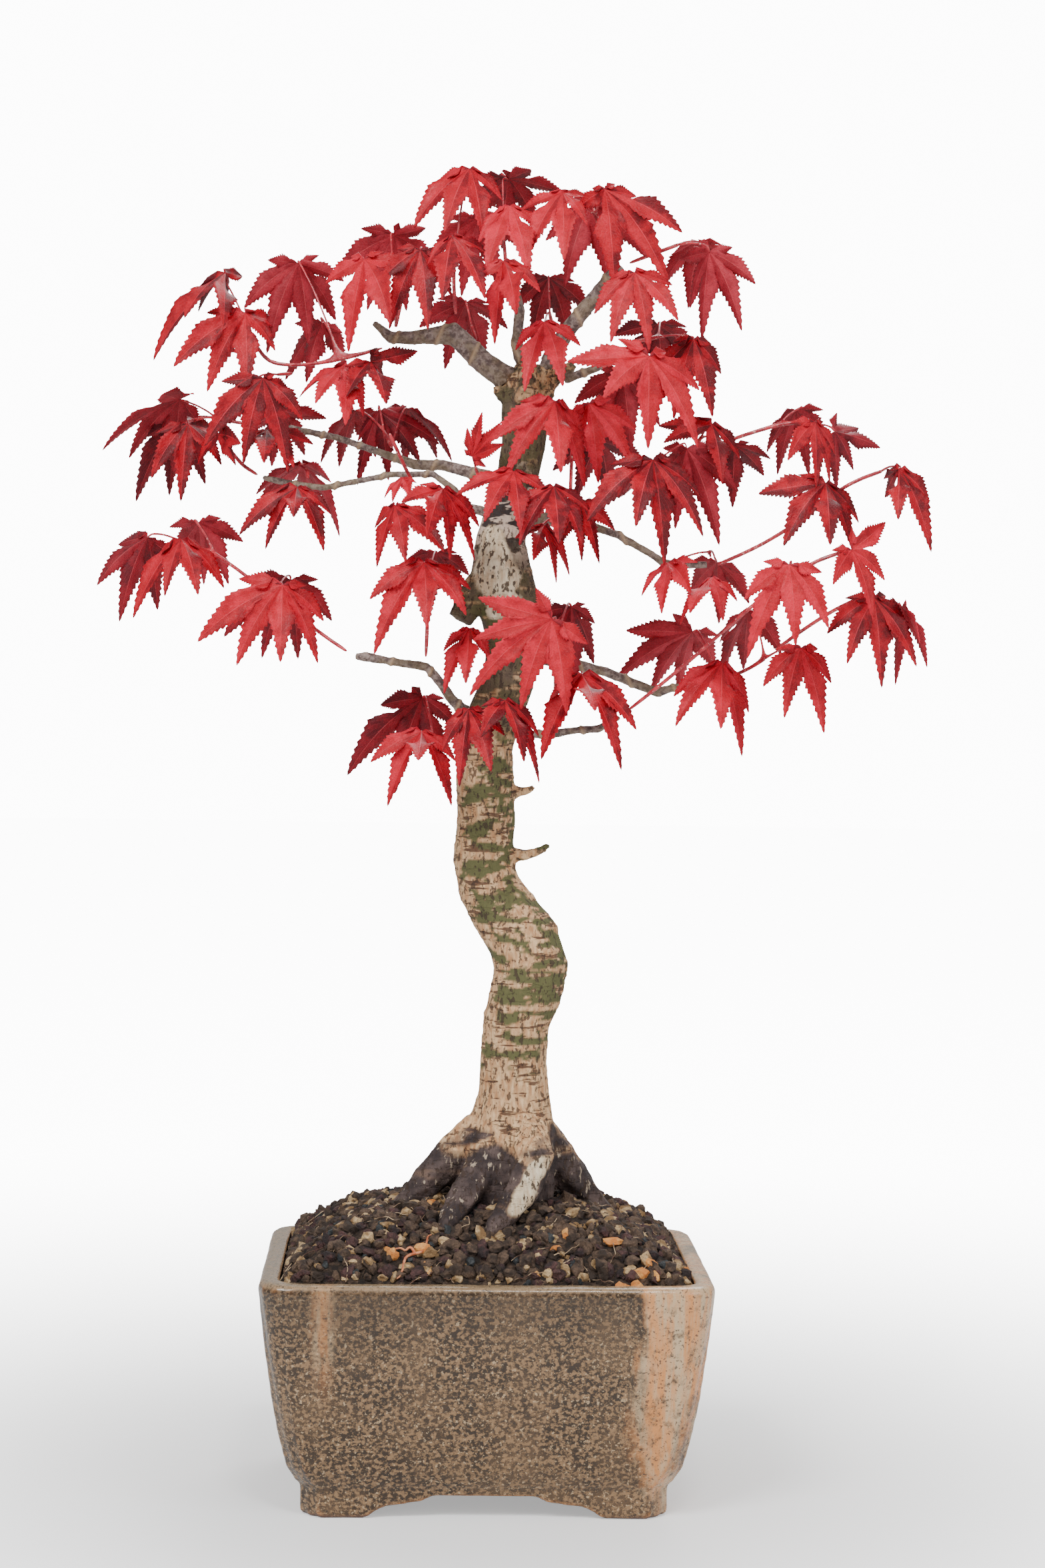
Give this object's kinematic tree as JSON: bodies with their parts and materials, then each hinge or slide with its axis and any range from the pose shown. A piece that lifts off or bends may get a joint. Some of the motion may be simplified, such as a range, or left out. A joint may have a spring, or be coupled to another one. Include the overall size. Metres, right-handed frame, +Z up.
{
  "type": "potted bonsai tree",
  "caption": "Red-leaved maple bonsai with a bent trunk and surface roots, in mounded grit soil in a footed, glazed rectangular pot.",
  "frame": {"origin": "centre of the bounding box at the plane the pot's feet rest on, which is under the middle of the pot", "axes": "+Z up along the trunk, +X to the right and -Y towards the viewer, square to the pot's long side"},
  "size_m": [0.3178, 0.1385, 0.5093],
  "materials": {
    "pot_glaze": "mottled brown glaze, satin to glossy",
    "soil": "rough loose grains",
    "bark": "rough bark, olive and tan",
    "twig": "smooth young bark",
    "leaf_red": "satin leaf",
    "mesh_black": "moulded",
    "wire": "brown anodised"
  },
  "bodies": {
    "root": {"branch_top_left": "twig", "branch_top_middle": "twig", "branch_top_right": "twig", "drain_mesh_left": "mesh_black", "drain_mesh_right": "mesh_black", "mesh_wire_left": "wire", "mesh_wire_right": "wire", "pot": "pot_glaze", "shoot_crown_left": "leaf_red", "shoot_crown_left_fringe": "leaf_red", "shoot_crown_left_hanging": "leaf_red", "shoot_left_far": "leaf_red", "shoot_left_far_wood": "leaf_red", "shoot_left_inner_front": "leaf_red", "shoot_left_inner_top": "leaf_red", "shoot_left_low_end": "leaf_red", "shoot_left_low_middle": "leaf_red", "shoot_left_low_upright": "leaf_red", "shoot_left_middle_end": "leaf_red", "shoot_left_middle_front": "leaf_red", "shoot_left_middle_top": "leaf_red", "shoot_left_red_spur": "leaf_red", "shoot_right_behind": "leaf_red", "shoot_right_centre_front": "leaf_red", "shoot_right_dark_upright": "leaf_red", "shoot_right_inner_front": "leaf_red", "shoot_right_inner_top": "leaf_red", "shoot_right_long": "leaf_red", "shoot_right_low_end": "leaf_red", "shoot_right_low_front": "leaf_red", "shoot_right_low_outer": "leaf_red", "shoot_right_middle": "leaf_red", "shoot_right_middle_cluster": "leaf_red", "shoot_right_outer": "leaf_red", "shoot_right_upper": "leaf_red", "shoot_right_upper_front": "leaf_red", "shoot_right_upper_mid": "leaf_red", "shoot_right_upper_side": "leaf_red", "shoot_top_a": "leaf_red", "shoot_top_c": "leaf_red", "shoot_top_d": "leaf_red", "shoot_top_left_inner": "leaf_red", "shoot_top_right_a": "leaf_red", "shoot_top_right_c": "leaf_red", "shoot_top_right_front": "leaf_red", "shoot_top_right_inner": "leaf_red", "shoot_trunk_front_high": "leaf_red", "shoot_trunk_front_low": "leaf_red", "shoot_trunk_left_low": "leaf_red", "shoot_trunk_left_up": "leaf_red", "shoot_trunk_middle_left": "leaf_red", "soil": "soil", "trunk": "bark", "twig_left_low": "twig", "twig_left_middle": "twig", "twig_left_upper": "twig", "twig_right_dark": "twig", "twig_right_low": "twig", "twig_right_middle": "twig", "twig_top_right": "twig"}
  },
  "joints": []
}
